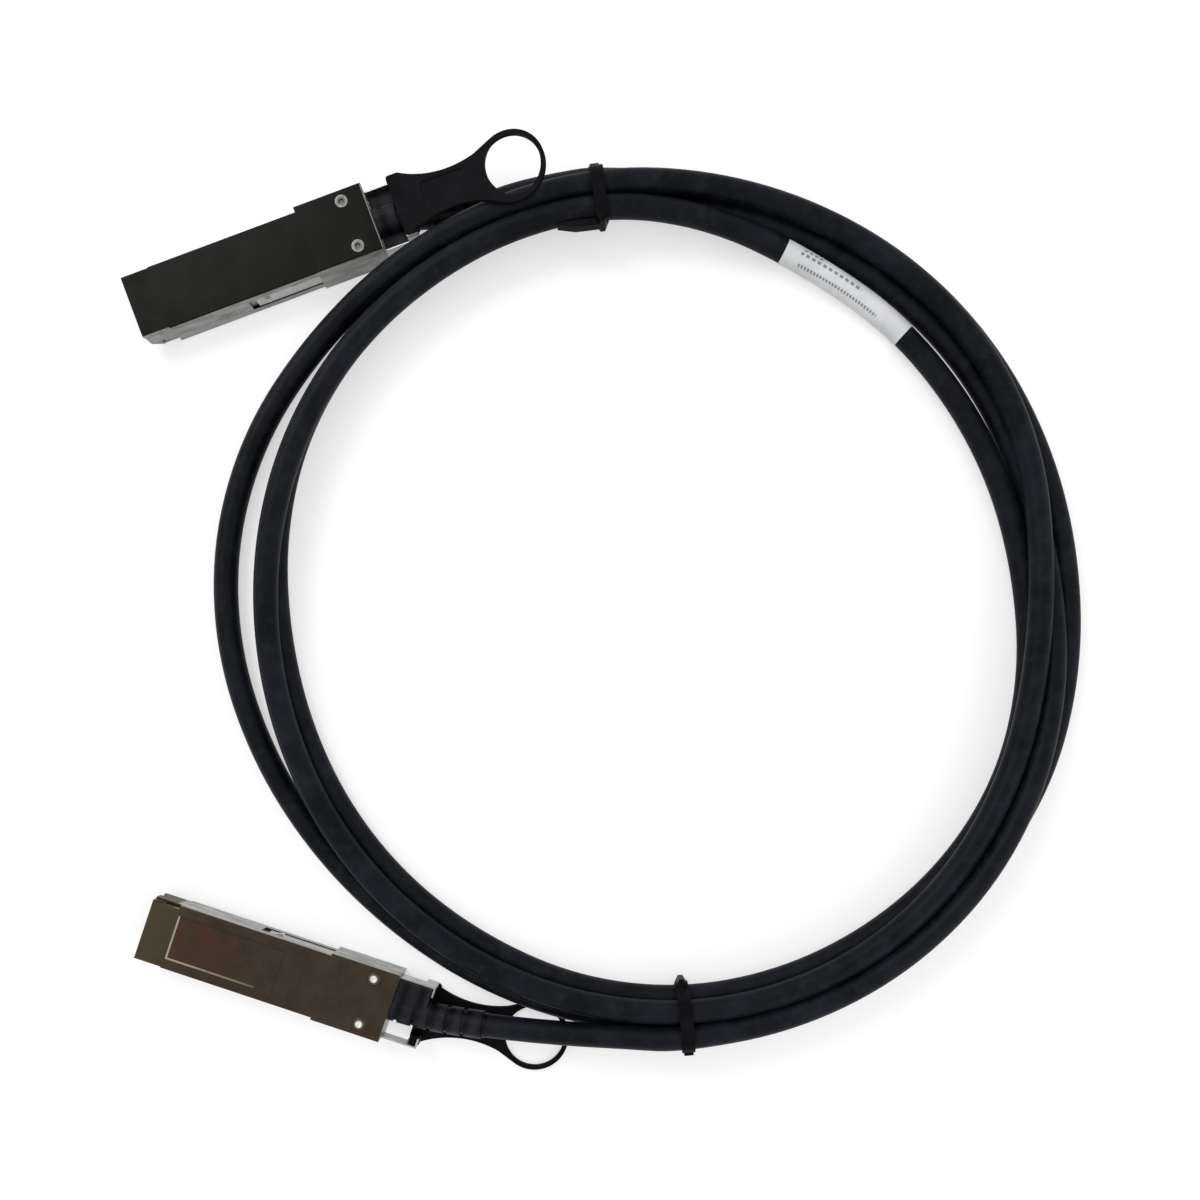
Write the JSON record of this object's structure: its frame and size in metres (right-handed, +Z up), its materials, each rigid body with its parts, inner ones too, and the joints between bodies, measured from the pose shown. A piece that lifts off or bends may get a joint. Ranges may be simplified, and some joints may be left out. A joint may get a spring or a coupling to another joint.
{
  "type": "direct attach copper cable",
  "caption": "Coiled round data cable held by ties, with a flat shielded card-edge plug, sprung side latch and looped pull tab at each end.",
  "frame": {"origin": "middle of the whole bundle's outline, on the table it lies on", "axes": "+X from the plug noses towards the far side of the coil, +Y from the lower plug's side to the upper plug's side, +Z up off the table"},
  "size_m": [0.2717, 0.262, 0.0175],
  "materials": {
    "plated_zinc": "black nickel plated die-cast zinc, satin, with bright worn edges",
    "rivet_steel": "bright plated steel rivet heads",
    "latch_steel": "bright stamped spring steel",
    "spring_steel": "folded thin spring strip",
    "tab_nylon": "black moulded nylon, fine satin texture",
    "card_laminate": "green coated glass-epoxy circuit card",
    "contact_gold": "gold plated edge contacts",
    "chip_package": "black moulded chip packages",
    "wire_insulation": "pale foil-wrapped pairs",
    "ferrule_metal": "crimped shield collar, bare metal",
    "boot_rubber": "black moulded flexible strain relief",
    "cable_jacket": "black vinyl cable jacket with a soft blue-grey sheen",
    "label_film": "white self-laminating wrap label",
    "tie_nylon": "black vinyl twist tie"
  },
  "bodies": {
    "assembly": {"lower_shell_a": "plated_zinc", "upper_shell_a": "plated_zinc", "shell_rivets_a": "rivet_steel", "latch_springs_a": "spring_steel", "paddle_card_a": "card_laminate", "card_contacts_a": "contact_gold", "card_chip_a": "chip_package", "wire_pairs_a": "wire_insulation", "crimp_ferrule_a": "ferrule_metal", "strain_relief_boot_a": "boot_rubber", "cable_lead_a": "cable_jacket", "lower_shell_b": "plated_zinc", "upper_shell_b": "plated_zinc", "shell_rivets_b": "rivet_steel", "latch_springs_b": "spring_steel", "paddle_card_b": "card_laminate", "card_contacts_b": "contact_gold", "card_chip_b": "chip_package", "wire_pairs_b": "wire_insulation", "crimp_ferrule_b": "ferrule_metal", "strain_relief_boot_b": "boot_rubber", "cable_lead_b": "cable_jacket", "cable_coil": "cable_jacket", "cable_label": "label_film", "cable_tie_top": "tie_nylon", "cable_tie_bottom": "tie_nylon"},
    "latch_a": {"latch_slide_a": "latch_steel", "pull_tab_a": "tab_nylon"},
    "latch_b": {"latch_slide_b": "latch_steel", "pull_tab_b": "tab_nylon"}
  },
  "joints": [
    {"name": "latch_a_pull", "type": "slide", "parent": "assembly", "child": "latch_a", "axis": [0.937, 0.3494, 0], "range_m": [0, 0.0022], "stiffness_N_per_m": 300, "springref_m": -0.003, "deforming": ["latch_springs_a"]},
    {"name": "latch_b_pull", "type": "slide", "parent": "assembly", "child": "latch_b", "axis": [0.9489, -0.3156, 0], "range_m": [0, 0.0022], "stiffness_N_per_m": 300, "springref_m": -0.003, "deforming": ["latch_springs_b"]}
  ]
}
